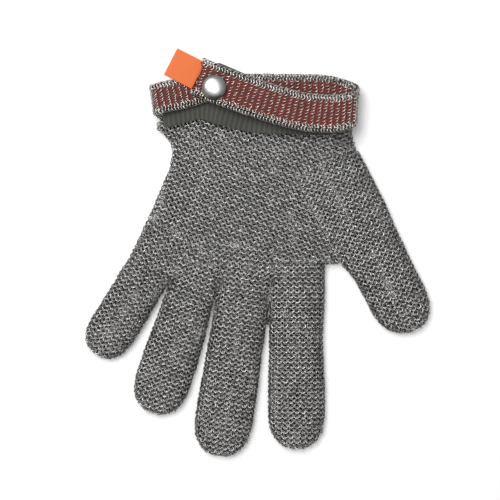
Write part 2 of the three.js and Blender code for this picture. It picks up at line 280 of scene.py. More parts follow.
class RingField:
    """Places of rings, with a coarse lookup that finds near ones."""

    def __init__(self):
        self.rings = []
        self.cells = {}

    def cell(self, point):
        return tuple(int(math.floor(value / CELL_SIZE)) for value in point)

    def nearest(self, point, other_than=None):
        i, j, k = self.cell(point)
        best = NONE_NEAR
        for a in (i - 1, i, i + 1):
            for b in (j - 1, j, j + 1):
                for c in (k - 1, k, k + 1):
                    for ring in self.cells.get((a, b, c), ()):
                        if ring["region"] != other_than:
                            best = min(best, math.dist(ring["at"], point))
        return best

    def add(self, region, at, row, facing, lean, part):
        ring = {"region": region, "at": at, "row": row, "facing": facing,
                "lean": lean, "part": part}
        self.rings.append(ring)
        self.cells.setdefault(self.cell(at), []).append(ring)


hand_rings = RingField()


def pull_in(at, reach_directions):
    """Moves a ring's middle inwards in plan where the ring would stand out past the skin."""
    at = np.array(at)
    for direction in reach_directions:
        flat = np.array((direction[0], direction[1]))
        for sign in (1, -1):
            for _ in range(PULL_STEPS):
                far = at[:2] + sign * flat * (RING_RADIUS + WIRE_RADIUS)
                if top_and_bottom(*far):
                    break
                at[:2] -= sign * flat * PULL_STEP
    return at

# %% [markdown]
# ## Rows of rings on a tube
# A row is laid along a cut through the hand. The cut's outline is walked from its middle to both
# sides, over the edge and underneath, and a ring is set down at every pitch. Rings outside the
# row's own region are left to that region. The lower layer is shifted by half a ring, so that its
# rings lie under the crossings of the upper layer, and the floor hardly shows through.

# %% Cut the hand and walk round the cut
SAMPLE = 0.5
CUT_REACH = 1.6
SHORTEST_RUN = 3
LOOK_ROUND = 0.8


def runs_of(region, distance):
    """The stretches of one cut that lie on the hand, as lists of (u, top, bottom)."""
    along, across = directions(region)
    origin = np.array(region["root"]) + along * distance
    runs, run = [], []
    reach = region["half"] * CUT_REACH
    for u in np.arange(-reach, reach + SAMPLE, SAMPLE):
        heights = top_and_bottom(*(origin + across * u))
        if heights:
            run.append((u, *heights))
        elif run:
            runs.append(run)
            run = []
    return origin, [r for r in runs + [run] if len(r) > SHORTEST_RUN]


def walk(points, start_value, sign, phase):
    """Points and directions at each pitch along a line of (u, z) points."""
    line = np.array(points)
    steps = np.hypot(*np.diff(line, axis=0).T)
    length = np.concatenate(([0.0], np.cumsum(steps)))
    values = start_value + sign * length
    low, high = sorted((values[0], values[-1]))
    first = math.ceil((low - phase) / RING_PITCH)
    last = math.floor((high - phase) / RING_PITCH)
    found = []
    for number in range(first, last + 1):
        at = abs(phase + number * RING_PITCH - start_value)
        u, z = (np.interp(at, length, line[:, i]) for i in (0, 1))
        before, after = max(at - LOOK_ROUND, 0.0), min(at + LOOK_ROUND, length[-1])
        du, dz = (np.interp(after, length, line[:, i]) - np.interp(before, length, line[:, i])
                  for i in (0, 1))
        size = math.hypot(du, dz) or 1.0
        found.append((u, z, sign * du / size, sign * dz / size, number == 0))
    return found


print("stretches of a cut through the palm:", len(runs_of(PALM, 0.0)[1]))

# %% [markdown]
# ## From cuts to rows
# A walk tells how steeply the skin runs at each ring, and the ring stands square to it. Where the
# skin runs back on itself, the ring belongs to the lower layer. A row that meets another region
# stops short of the rings that are already there.

# %% Lay the rows of a region
LOWER_LAYER = -0.9
EDGE_ZONE = 5.0
CLOSEST_RING = 1.9
UNDER_FACING = -0.3
DIGIT_ROWS, PALM_ROWS = 90, 150


def side_of(facing):
    return "top" if facing[2] > UNDER_FACING else "under"


def lay_row(region, number):
    along, across = directions(region)
    origin, runs = runs_of(region, region["start"] + number * ROW_PITCH)
    phase = RING_PITCH / 2 if number % 2 else 0.0
    lean = 1 if number % 2 else -1
    for run in runs:
        top = [(u, z) for u, z, _ in run]
        under = [(u, z) for u, _, z in run]
        middle = min(range(len(run)), key=lambda i: abs(run[i][0]))
        half = len(run) // 2
        right = walk(top[middle:] + under[half:][::-1], run[middle][0], 1, phase)
        left = walk(top[middle::-1] + under[:half], run[middle][0], -1, phase)
        if right and run[middle][0] == 0:
            left = [item for item in left if not item[4]]
        for u, z, tu, tz, _ in right + left:
            edge_distance = min(u - run[0][0], run[-1][0] - u)
            if tu < LOWER_LAYER and edge_distance > EDGE_ZONE:
                shift = phase + RING_PITCH / 2
                u = round((u - shift) / RING_PITCH) * RING_PITCH + shift
            plan = origin + across * u
            if region_at(*plan) != region["name"]:
                continue
            facing = np.array((*(-tz * across), tu))
            row = np.array((*(tu * across), tz))
            ahead = np.array((*along, 0.0))
            at = pull_in(np.array((*plan, z)) - facing * RING_DEPTH, (row, ahead * AHEAD_REACH))
            if hand_rings.nearest(at, region["name"]) < CLOSEST_RING:
                continue
            hand_rings.add(region["name"], at, row, facing, lean * ahead, side_of(facing))


for region in DIGITS + [PALM]:
    rows = PALM_ROWS if region is PALM else DIGIT_ROWS
    for number in range(rows):
        lay_row(region, number)
    print(region["name"], "and before:", len(hand_rings.rings), "rings")

# %% [markdown]
# ## Rings in the seams and at the tips
# Where two directions meet, and at the round fingertips, the regular rows leave gaps. The real
# glove has extra rings there. They are scattered over the skin from a fixed seed, and each one is
# kept only where no other ring is near.

# %% Fill what the rows left bare
FILL_TRIES = 60000
FILL_SPACING = 2.35
PROBE = 1.0
FLATTEST_ROW = 0.2


def is_outside(point, normal):
    probe = point + normal * PROBE
    heights = top_and_bottom(probe[0], probe[1])
    return heights is None or probe[2] > heights[0] or probe[2] < heights[1]


def fill_gaps(tries, spacing):
    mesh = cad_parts["mail_hand"].data
    mesh.calc_loop_triangles()
    corners = np.array([[mesh.vertices[i].co for i in t.vertices] for t in mesh.loop_triangles])
    corners = corners / MM
    cross = np.cross(corners[:, 1] - corners[:, 0], corners[:, 2] - corners[:, 0])
    area = np.linalg.norm(cross, axis=1)
    chosen = rng.choice(len(area), size=tries, p=area / area.sum())
    root, side = np.sqrt(rng.random(tries)), rng.random(tries)
    added = 0
    for index, r, s in zip(chosen, root, side):
        a, b, c = corners[index]
        point = a * (1 - r) + b * r * (1 - s) + c * r * s
        normal = cross[index] / area[index]
        at = point - normal * RING_DEPTH
        if hand_rings.nearest(at) < spacing or not is_outside(point, normal):
            continue
        name = region_at(*point[:2])
        across = directions(next((d for d in DIGITS if d["name"] == name), PALM))[1]
        row = np.array((*across, 0.0))
        row -= normal * (row @ normal)
        size = np.linalg.norm(row)
        row = row / size if size > FLATTEST_ROW else np.array((0.0, 0.0, 1.0))
        beside = np.cross(normal, row)
        at = pull_in(at, (row, beside * AHEAD_REACH))
        lean = beside * rng.choice((-1, 1))
        hand_rings.add(name, at, row, normal, lean, side_of(normal))
        added += 1
    return added


print("filled in:", fill_gaps(FILL_TRIES, FILL_SPACING), "of", len(hand_rings.rings), "rings")

# %% [markdown]
# ## One ring
# A welded ring is a torus with a slightly thicker spot at its weld. It is modelled once. The
# rings that face the viewer get ten steps round, and the hidden lower side makes do with eight.

# %% Model the ring once
WELD_SWELL = 1.35
WELD_REACH = 0.2


def clear_selection():
    if bpy.context.object and bpy.context.object.mode != "OBJECT":
        bpy.ops.object.mode_set(mode="OBJECT")
    bpy.ops.object.select_all(action="DESELECT")


def model_ring(name, steps, sides):
    clear_selection()
    bpy.ops.mesh.primitive_torus_add(
        major_radius=RING_RADIUS * MM, minor_radius=WIRE_RADIUS * MM,
        major_segments=steps, minor_segments=sides)
    ring = bpy.context.object
    ring.name = name
    bpy.ops.object.mode_set(mode="EDIT")
    bpy.ops.mesh.select_mode(type="VERT")
    bpy.ops.mesh.select_all(action="DESELECT")
    bpy.ops.object.mode_set(mode="OBJECT")
    for vertex in ring.data.vertices:
        far_side = vertex.co.x > (RING_RADIUS - 2 * WIRE_RADIUS) * MM
        vertex.select = far_side and abs(vertex.co.y) < WELD_REACH * MM
    bpy.ops.object.mode_set(mode="EDIT")
    for swell in ((1.0, WELD_SWELL, WELD_SWELL), (WELD_SWELL, 1.0, 1.0)):
        bpy.ops.transform.resize(value=swell, center_override=(RING_RADIUS * MM, 0, 0))
    bpy.ops.object.mode_set(mode="OBJECT")
    bpy.ops.object.shade_smooth()
    return ring


FINE_RING = model_ring("fine_ring", steps=10, sides=4)
PLAIN_RING = model_ring("plain_ring", steps=8, sides=3)
print("faces in a ring:", len(FINE_RING.data.polygons), len(PLAIN_RING.data.polygons))
print("ring size, mm:", [round(v / MM, 2) for v in FINE_RING.dimensions])

# %% [markdown]
# ## Many rings, one mesh
# The places found above become a cloud of points. A short Geometry Nodes tree sets a copy of the
# ring on each point, turned by a vector stored there, and makes the copies real. This is quicker
# and lighter than thousands of objects, and the result is a plain mesh.

# %% Set a ring on every point
def ring_layer(ring):
    tree = bpy.data.node_groups.new("lay_" + ring.name, "GeometryNodeTree")
    tree.interface.new_socket("Geometry", in_out="INPUT", socket_type="NodeSocketGeometry")
    tree.interface.new_socket("Geometry", in_out="OUTPUT", socket_type="NodeSocketGeometry")
    start, end = tree.nodes.new("NodeGroupInput"), tree.nodes.new("NodeGroupOutput")
    shape = tree.nodes.new("GeometryNodeObjectInfo")
    shape.inputs["Object"].default_value = ring
    turn = tree.nodes.new("GeometryNodeInputNamedAttribute")
    turn.data_type = "FLOAT_VECTOR"
    turn.inputs["Name"].default_value = "turn"
    rotation = tree.nodes.new("FunctionNodeEulerToRotation")
    copies = tree.nodes.new("GeometryNodeInstanceOnPoints")
    real = tree.nodes.new("GeometryNodeRealizeInstances")
    tree.links.new(start.outputs[0], copies.inputs["Points"])
    tree.links.new(shape.outputs["Geometry"], copies.inputs["Instance"])
    tree.links.new(turn.outputs["Attribute"], rotation.inputs[0])
    tree.links.new(rotation.outputs[0], copies.inputs["Rotation"])
    tree.links.new(copies.outputs[0], real.inputs[0])
    tree.links.new(real.outputs[0], end.inputs[0])
    return tree


LAYERS = {ring.name: ring_layer(ring) for ring in (FINE_RING, PLAIN_RING)}
print("layers:", list(LAYERS))

# %% [markdown]
# ## Each ring a little different
# No two rings of a real glove lie quite alike. Each one gets its own tilt, its own turn about its
# middle and a little play. Where a point of the wire stands up from the skin and faces away from it,
# it gets a painted highlight, and where it dips and turns inwards it gets painted shade; the same
# number makes the raised wire smoother.

# %% Settle the rings and paint light and shade on their wire
TILT_SPREAD, ASIDE_SPREAD = 0.10, 0.14
LOOSENESS, MOST_PLAY = 0.14, 0.25
FLOOR_GAP = 1.4 * WIRE_RADIUS
SHADE_MIDDLE, SHADE_REACH, TURN_SHARE = 0.54, 0.74, 0.5
# Steeper powers darken more; the lower layer, seen through the holes, gets more painted shade
TOP_SHADE_POWER, UNDER_SHADE_POWER = 1.9, 2.5


def settle(ring):
    """Gives a ring its turn in the weave, and lifts it where it would dip under the floor."""
    tilt = ring.get("tilt", RING_TILT) + rng.normal(0, TILT_SPREAD)
    aside = rng.normal(0, ASIDE_SPREAD) * ring["row"]
    leaning = ring["facing"] * math.cos(tilt) + ring["lean"] * math.sin(tilt)
    normal = Vector(leaning + aside).normalized()
    row = Vector(ring["row"])
    row = (row - normal * row.dot(normal)).normalized()
    spin = Matrix.Rotation(rng.uniform(0, 2 * math.pi), 3, "Z")
    ring["turn"] = (Matrix((row, normal.cross(row), normal)).transposed() @ spin).to_euler()
    lowest = RING_RADIUS * math.sqrt(max(1 - normal.z ** 2, 0)) + FLOOR_GAP
    play = rng.normal(0, LOOSENESS, 2).clip(-MOST_PLAY, MOST_PLAY)
    at = ring["at"] + (ring["row"] * play[0] + ring["lean"] * play[1]) * ring.get("play", 1.0)
    ring["at"] = np.array((*at[:2], max(at[2], lowest)))


def store(mesh, name, kind, field, values):
    mesh.attributes.new(name, kind, "POINT").data.foreach_set(field, np.ravel(values).tolist())


def paint_light_and_polish(mesh, rings):
    """How far each point of a ring stands up from the skin and faces away from it, from 0 to 1."""
    points, normals = (np.empty(len(mesh.vertices) * 3) for _ in range(2))
    mesh.vertices.foreach_get("co", points)
    mesh.vertex_normals.foreach_get("vector", normals)
    points = points.reshape(len(rings), -1, 3) / MM
    normals = normals.reshape(len(rings), -1, 3)
    middles = np.array([ring["at"] for ring in rings])[:, None, :]
    facings = np.array([ring["facing"] for ring in rings])[:, None, :]
    height = ((points - middles) * facings).sum(axis=2)
    shade_power = np.array([UNDER_SHADE_POWER if ring["part"] == "under" else TOP_SHADE_POWER for ring in rings])[:, None]
    # The result paints highlight on raised wire and shade where it dips, and makes raised wire
    # smoother
    raised = np.clip(SHADE_MIDDLE + height / (2 * SHADE_REACH), 0, 1)
    turned_out = 0.5 + 0.5 * (normals * facings).sum(axis=2)
    share = (1 - TURN_SHARE) * raised + TURN_SHARE * turned_out
    return np.clip(share, 0, 1) ** shade_power


print("rings to settle on the hand:", len(hand_rings.rings))

# %% [markdown]
# ## The hand in pieces
# A piece may not grow too heavy to handle, so the hand is dressed digit by digit, each with an
# upper and a lower piece, and the large palm is parted once more into a wrist and a knuckle half.
# Every piece stands in for the hand's skin, so the smooth skin itself isn't shown.

# %% Make the pieces of the hand
TONE_MIDDLE, TONE_SPREAD = 0.5, 0.2
PALM_SPLIT, FAR_OFF = 45.0, 200.0


def ring_piece(name, rings, shape, finish, *nodes):
    clear_selection()
    for ring in rings:
        settle(ring)
    mesh = bpy.data.meshes.new(name)
    mesh.from_pydata([Vector(ring["at"]) * MM for ring in rings], [], [])
    store(mesh, "turn", "FLOAT_VECTOR", "vector", [ring["turn"] for ring in rings])
    tones = rng.normal(TONE_MIDDLE, TONE_SPREAD, len(rings))
    store(mesh, "tone", "FLOAT", "value", np.clip(tones, 0, 1))
    piece = bpy.data.objects.new(name, mesh)
    bpy.context.collection.objects.link(piece)
    bpy.context.view_layer.objects.active = piece
    piece.select_set(True)
    piece.modifiers.new("rings", "NODES").node_group = LAYERS[shape.name]
    bpy.ops.object.modifier_apply(modifier="rings")
    piece.data.attributes.remove(piece.data.attributes["turn"])
    store(piece.data, "painted_light_and_polish", "FLOAT", "value", paint_light_and_polish(piece.data, rings))
    piece.data.materials.clear()
    piece.data.materials.append(finish)
    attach(piece, "root")
    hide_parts(*nodes)
    triangles = sum(len(polygon.vertices) - 2 for polygon in piece.data.polygons)
    print(name, len(rings), "rings,", triangles, "triangles")
    return triangles


def hand_pieces(name, region, low=-FAR_OFF, high=FAR_OFF):
    triangles = 0
    for part, shape in (("top", FINE_RING), ("under", PLAIN_RING)):
        group = [ring for ring in hand_rings.rings if ring["region"] == region
                 and ring["part"] == part and low <= ring["at"][1] < high]
        triangles += ring_piece(f"{name}_{part}", group, shape, MAIL_STEEL, "mail_hand")
    return triangles


ring_triangles = 0
for digit in DIGITS:
    ring_triangles += hand_pieces(digit["name"], digit["name"])
ring_triangles += hand_pieces("palm_wrist", "palm", low=PALM_SPLIT)
ring_triangles += hand_pieces("palm_knuckles", "palm", high=PALM_SPLIT)
print("triangles so far:", ring_triangles)

# %% [markdown]
# ## The path of the strap
# The strap's free end lies on top, at the stud. From there the strap goes over the front to the
# right side, back along the floor behind the wrist, round the left side and in under its own free
# end. Its middle line goes smoothly through a short table of places, the same as in the part.

# %% The strap's middle line
LOOP_RISE, LAYER_RISE = 11.7, 5.0
MOUTH_THICKNESS = 9.9

# Columns: across the loop, along the strap's width, lift, layer, lean in degrees
STRAP = [
    (0.222, 0.372, 1.00, 1.00, 19), (0.325, 0.125, 1.01, 1.00, 20),
    (0.448, -0.115, 1.04, 1.00, 21), (0.569, -0.335, 1.08, 1.00, 18),
    (0.690, -0.525, 1.12, 1.00, 12), (0.813, -0.620, 1.13, 1.00, 7),
    (0.920, -0.600, 1.11, 0.94, 4), (0.973, -0.500, 0.95, 0.80, 4),
    (0.990, -0.370, 0.55, 0.50, 4), (0.972, -0.240, 0.15, 0.20, 3),
    (0.922, -0.120, 0.00, 0.00, 1), (0.842, -0.030, 0.00, 0.00, 0),
    (0.668, 0.000, 0.00, 0.00, 0), (0.371, 0.000, 0.00, 0.00, 0),
    (0.173, -0.054, 0.00, 0.00, 0), (0.100, -0.130, 0.00, 0.00, 0),
    (0.043, -0.200, 0.00, 0.00, -3), (0.013, -0.270, 0.146, 0.00, -5),
    (0.000, -0.320, 0.50, 0.00, -8), (0.013, -0.320, 0.854, 0.00, -10),
    (0.043, -0.280, 1.00, 0.00, -12), (0.173, -0.130, 1.00, 0.00, -14),
    (0.282, 0.060, 1.00, 0.00, -15), (0.361, 0.170, 1.00, 0.00, -15),
]

# Columns: across the loop, along the strap's width, share of the mail's thickness, lean
STRIP = [
    (0.045, -0.640, 0.72, -4), (0.114, -0.547, 0.88, -8), (0.223, -0.420, 0.96, -2),
    (0.322, -0.555, 1.00, 14), (0.421, -0.700, 1.00, 14), (0.530, -0.790, 1.00, 6),
    (0.669, -0.810, 1.00, 2), (0.817, -0.830, 0.97, 0), (0.892, -0.800, 0.88, -3),
]
print("places in the tables:", len(STRAP), "and", len(STRIP))

# %% [markdown]
# ## From a table to a band
# A band needs more than a line: at each station along it, it has to know which way is ahead, which
# way is across and which way is out. The stations lie at equal distances on the real length, so
# rings and ribs set on them keep their pitch round every bend.

# %% Stations along a band
LINE_POINTS = 1200
LOOK_ALONG = 1.2
STRAP_STATIONS = 300
ROLL_START, ROLL_LENGTH, ROLL_SHARE = 0.70, 0.08, 0.22


def in_plan(across, along, z):
    return np.array((LOOP_LEFT + across * LOOP_WIDTH, LOOP_BACK + along * STRAP_WIDTH, z)) + SHIFT


def strap_points():
    return [in_plan(a, b, STRAP_THICKNESS / 2 + up * LOOP_RISE + layer * LAYER_RISE)
            for a, b, up, layer, _ in STRAP]


def smooth_point(points, t):
    """A centripetal curve through all points, at t from 0 to 1."""
    spot = t * (len(points) - 1)
    i = min(int(spot), len(points) - 2)
    w = spot - i
    before = points[i - 1] if i > 0 else 2 * points[0] - points[1]
    after = points[i + 2] if i + 2 < len(points) else 2 * points[-1] - points[-2]
    p = (before, points[i], points[i + 1], after)
    d = [max(float(np.linalg.norm(b - a)) ** 0.5, 1e-4) for a, b in zip(p, p[1:])]
    t1 = ((p[1] - p[0]) / d[0] - (p[2] - p[0]) / (d[0] + d[1]) + (p[2] - p[1]) / d[1]) * d[1]
    t2 = ((p[2] - p[1]) / d[1] - (p[3] - p[1]) / (d[1] + d[2]) + (p[3] - p[2]) / d[2]) * d[1]
    cubic = 2 * p[1] - 2 * p[2] + t1 + t2
    square = -3 * p[1] + 3 * p[2] - 2 * t1 - t2
    return ((cubic * w + square) * w + t1) * w + p[1]


def narrowed(t):
    """The under end shows only about four fifths of its width, as it rolls towards the wrist."""
    rise = min(max((t - ROLL_START) / ROLL_LENGTH, 0.0), 1.0)
    return 1.0 - ROLL_SHARE * rise * rise * (3 - 2 * rise)


def band_frames(points, leans, count, share=lambda t: 1.0):
    """Stations along a band: place, length so far, and its directions along, across and out."""
    line = np.array([smooth_point(points, t) for t in np.linspace(0, 1, LINE_POINTS)])
    line[:, 2] = np.maximum(line[:, 2], min(p[2] for p in points))
    steps = np.linalg.norm(np.diff(line, axis=0), axis=1)
    length = np.concatenate(([0.0], np.cumsum(steps)))
    knots = np.linspace(0, 1, len(leans))
    stations = []
    for far in np.linspace(0, length[-1], count):
        middle = np.array([np.interp(far, length, line[:, i]) for i in range(3)])
        ahead = np.array([np.interp(far + LOOK_ALONG, length, line[:, i]) for i in range(3)])
        behind = np.array([np.interp(far - LOOK_ALONG, length, line[:, i]) for i in range(3)])
        along = (ahead - behind) / np.linalg.norm(ahead - behind)
        t = np.interp(far, length, np.linspace(0, 1, LINE_POINTS))
        lean = math.radians(np.interp(t, knots, leans))
        wide = np.array((math.sin(lean), math.cos(lean), 0.0))
        out = np.cross(wide, along)
        kept = share(t)
        middle = middle + wide * (1 - kept) * STRAP_WIDTH / 2
        stations.append({"at": middle, "far": far, "along": along, "wide": wide,
                         "share": kept, "out": out / np.linalg.norm(out)})
    return stations


strap_leans = [row[4] for row in STRAP]
strap_line = band_frames(strap_points(), strap_leans, STRAP_STATIONS, narrowed)
print("strap length, mm:", round(strap_line[-1]["far"], 1))

# %% [markdown]
# ## The sleeve of rings round the strap
# The sleeve is a flat tube of the same mail, a little wider than the webbing, so that bare rings
# show along both edges. Over the webbing it is stretched: the rings stand in columns across the
# strap, half sunk in the cloth, and each shows only a slanting arc with the red between. At the
# edges they crowd together and lie flatter.

# %% Lay the sleeve
COLUMN_STEP = 2.0
COLUMN_PITCH = 2.1
COLUMN_RISE = 0.60
COLUMN_TILT = math.radians(50)
STROKE_TURN = math.radians(38)
RIM_RISE = 0.75
RIM_PLACES = (0.0, 1.7)
RIM_TILT = math.radians(30)
COLUMN_PLACES = range(-5, 6)
COLUMN_PLAY, RIM_PLAY = 0.8, 0.6
SLEEVE_INSET, RIM_ZONE, EDGE_OUT = 1.5, 2.2, 0.5


def sleeve_rings():
    rings = []
    count = int(strap_line[-1]["far"] / COLUMN_STEP) + 1
    stations = band_frames(strap_points(), strap_leans, count, narrowed)
    for number, station in enumerate(stations):
        along, wide = station["along"], station["wide"]
        half = (STRAP_WIDTH / 2 - SLEEVE_INSET) * station["share"]
        for side in (1, -1):
            facing = station["out"] * side
            if number % 2:
                stroke = wide * math.sin(STROKE_TURN) - along * math.cos(STROKE_TURN) * side
                lean = np.cross(facing, stroke)
                for place in COLUMN_PLACES:
                    u = place * COLUMN_PITCH * station["share"]
                    if abs(u) < half - RIM_ZONE:
                        at = station["at"] + facing * COLUMN_RISE + wide * u
                        rings.append({"at": at, "row": stroke, "facing": facing, "lean": lean,
                                      "part": side, "tilt": COLUMN_TILT, "play": COLUMN_PLAY})
            for edge in (1, -1):
                for rim, inset in enumerate(RIM_PLACES):
                    at = station["at"] + facing * RIM_RISE + wide * edge * (half - inset)
                    lean = along * (1 - 2 * rim)
                    rings.append({"at": at, "row": wide, "facing": facing, "lean": lean,
                                  "part": side, "tilt": RIM_TILT, "play": RIM_PLAY})
        if number % 2:
            for edge in (1, -1):
                facing = wide * edge
                rings.append({"at": station["at"] + facing * (half + EDGE_OUT), "row": along,
                              "facing": facing, "lean": station["out"] * edge, "part": edge})
    return rings


strap_rings = sleeve_rings()
heights = [ring["at"][2] for ring in strap_rings]
print("sleeve rings:", len(strap_rings), "from", round(min(heights), 1), "to", round(max(heights), 1))
for side, name in ((1, "sleeve_outer"), (-1, "sleeve_inner")):
    group = [ring for ring in strap_rings if ring["part"] == side]
    ring_triangles += ring_piece(name, group, FINE_RING, SLEEVE_STEEL_PAINTED_LIGHT, "strap_sleeve")
print("triangles in rings:", ring_triangles)

# %% [markdown]
# ## Woven finishes
# Webbing is a thick, tight weave: ribs across its length, each crossed by fine yarns. Both can
# be drawn with waves on the band's own length and width, which the mesh carries as a UV map in
# centimetres. Waves are used and not a picture, so the weave stays sharp at any size. The dark
# between the ribs is painted shade. The stud's steel has a painted highlight on its crown and
# painted shade towards the shoulder.

# %% Finishes for cloth, metal and plastic
MM_PER_CM = 10
GREY_RIB = 3.3


def woven_finish(name, groove_shade, light, rib, yarn, strength):
    cloth = Finish(name)
    along = cloth.node("ShaderNodeSeparateXYZ", None, {"Vector": cloth.place("UV")})
    across = Signal(cloth, along.socket.node.outputs[1])
    # A quarter turn puts the painted highlight on top of the ribs that the grey strip has in its mesh,
    # and the painted shade between them
    ribs = (along * (2 * math.pi * MM_PER_CM / rib) + math.pi / 2).wave()
    yarns = (across * (2 * math.pi * MM_PER_CM / yarn)).wave()
    fuzz = cloth.noise(cloth.place(), 900.0, 3.0)
    patches = cloth.noise(cloth.place(), 60.0)
    weave = ribs * 0.6 + yarns * 0.25 + fuzz * 0.35
    shade = weave * 0.7 + patches * 0.4
    # Painted shade: the near-black colour mixed in between the ribs
    colour = cloth.mix(shade, groove_shade, light)
    bump = cloth.node("ShaderNodeBump", None, {
        "Strength": strength, "Distance": 0.4 * MM, "Height": weave})
    return cloth.surface(Base_Color=colour, Roughness=0.75 + 0.2 * fuzz, Normal=bump,
                         Sheen_Weight=0.25, Sheen_Roughness=0.5)


# The first colour of each webbing is painted shade between its ribs
RED_WEB = woven_finish("strap_red", groove_shade=(0.004, 0.002, 0.002, 1), light=(0.195, 0.021, 0.013, 1),
                       rib=2.0, yarn=0.9, strength=0.9)
GREY_WEB = woven_finish("band_grey", groove_shade=(0.004, 0.0045, 0.004, 1), light=(0.080, 0.081, 0.068, 1),
                        rib=GREY_RIB, yarn=0.9, strength=1.0)

# The dome of the cap begins at its shoulder, this far above the floor, and rises by this much
CAP_SHOULDER, CAP_RISE = 21.6, 3.2
# How quickly the painted highlight of the crown fades into painted shade at the shoulder
CROWN_SHARPNESS = 1.2


def satin_finish():
    satin = Finish("satin_cap")
    where = satin.place()
    height = satin.node("ShaderNodeSeparateXYZ", None, {"Vector": where}, 2)
    # Painted light: the crown is painted bright and the shoulder painted dark, by height
    share = (height * (1 / (CAP_RISE * MM)) - CAP_SHOULDER / CAP_RISE) ** CROWN_SHARPNESS
    cloud = satin.noise(where, 160.0, 2.0)
    return satin.surface(Base_Color=satin.mix(share, grey(0.08, 0.01), grey(0.66, 0.01)),
                         Metallic=1.0, Roughness=0.30 + 0.08 * cloud)


def tape_finish():
    tape = Finish("tab_orange")
    cloud = tape.noise(tape.place(), 120.0, 3.0)
    grain = tape.noise(tape.place(), 1400.0, 2.0)
    bump = tape.node("ShaderNodeBump", None, {
        "Strength": 0.25, "Distance": 0.1 * MM, "Height": grain})
    colour = tape.mix(cloud, (0.64, 0.138, 0.030, 1), (0.69, 0.150, 0.035, 1))
    return tape.surface(Base_Color=colour, Roughness=0.55 + 0.15 * grain, Normal=bump,
                        Specular_IOR_Level=0.3)


SATIN, ORANGE = satin_finish(), tape_finish()
print("finishes:", RED_WEB.name, GREY_WEB.name, SATIN.name, ORANGE.name)

# %% [markdown]
# ## Bands of webbing
# A band is a flat grid led along its middle line. Solidify gives it a thickness and Bevel takes
# off the sharp edges. Bending the grid by its own numbers keeps the length and width on the UV
# map true, so the weave follows every turn.

# %% Build a band
WEB_WIDTH, WEB_THICKNESS = 17.6, 2.0
STRIP_WIDTH, STRIP_THICKNESS = 16.0, 1.0
STRIP_GAP, STRIP_LIFT, STRIP_STATIONS = 0.3, 0.6, 260
RIB_HEIGHT, RIBS_FADE_AT, FADED_SHARE = 0.30, 62, 0.35
BAND_EDGE = 0.3


def finish_piece(piece, material, slot, *nodes):
    piece.data.materials.clear()
    piece.data.materials.append(material)
    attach(piece, "root")
    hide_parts(*nodes)
    print(piece.name, "faces:", len(piece.data.polygons))


def apply_modifier(piece, kind, **settings):
    modifier = piece.modifiers.new(kind.lower(), kind)
    for key, value in settings.items():
        setattr(modifier, key, value)
    bpy.ops.object.modifier_apply(modifier=modifier.name)


def band_piece(name, line, width, thickness, columns, rib=None):
    clear_selection()
    bpy.ops.mesh.primitive_grid_add(x_subdivisions=len(line) - 1, y_subdivisions=columns, size=2)
    piece = bpy.context.object
    piece.name = name
    mesh = piece.data
    uv = mesh.uv_layers.active.data
    for loop in mesh.loops:
        u, v = uv[loop.index].uv
        uv[loop.index].uv = (u * line[-1]["far"] / MM_PER_CM, v * width / MM_PER_CM)
    for vertex in mesh.vertices:
        station = line[round((vertex.co.x + 1) / 2 * (len(line) - 1))]
        raised = rib(station["far"]) if rib else 0.0
        beside = station["wide"] * (vertex.co.y * width / 2 * station["share"])
        place = station["at"] + beside + station["out"] * raised
        vertex.co = Vector(place) * MM
    apply_modifier(piece, "SOLIDIFY", thickness=thickness * MM, offset=0.0)
    apply_modifier(piece, "BEVEL", width=thickness * BAND_EDGE * MM, segments=2, limit_method="ANGLE",
                   angle_limit=math.radians(60))
    bpy.ops.object.shade_smooth_by_angle(angle=math.radians(50))
    return piece


web = band_piece("strap_webbing", strap_line, WEB_WIDTH, WEB_THICKNESS, columns=12)
finish_piece(web, RED_WEB, "red_webbing", "strap_web")

strip_points = [in_plan(a, b, rest * MOUTH_THICKNESS + STRIP_GAP + STRIP_LIFT)
                for a, b, rest, _ in STRIP]
strip_line = band_frames(strip_points, [row[3] for row in STRIP], STRIP_STATIONS)


def strip_rib(far):
    ribbed = 1.0 if far < RIBS_FADE_AT else FADED_SHARE
    return RIB_HEIGHT * ribbed * math.cos(2 * math.pi * far / GREY_RIB)


strip = band_piece("cuff_webbing", strip_line, STRIP_WIDTH, STRIP_THICKNESS, columns=10, rib=strip_rib)
finish_piece(strip, GREY_WEB, "grey_textile", "cuff_strip")

# %% [markdown]
# ## The tongue and the tab
# Both are flat plates cut from a strip. The tongue has two round corners, made by bevelling its
# corner points before it gets a thickness. The tab is folded tape: its edges are softened and it
# bows a little in the middle.

# %% Cut the tongue and the tab
PLATE_EDGE = 0.25
NEAR_END = 0.1
CORNER_STEPS = 10
BOW_CUTS = 10


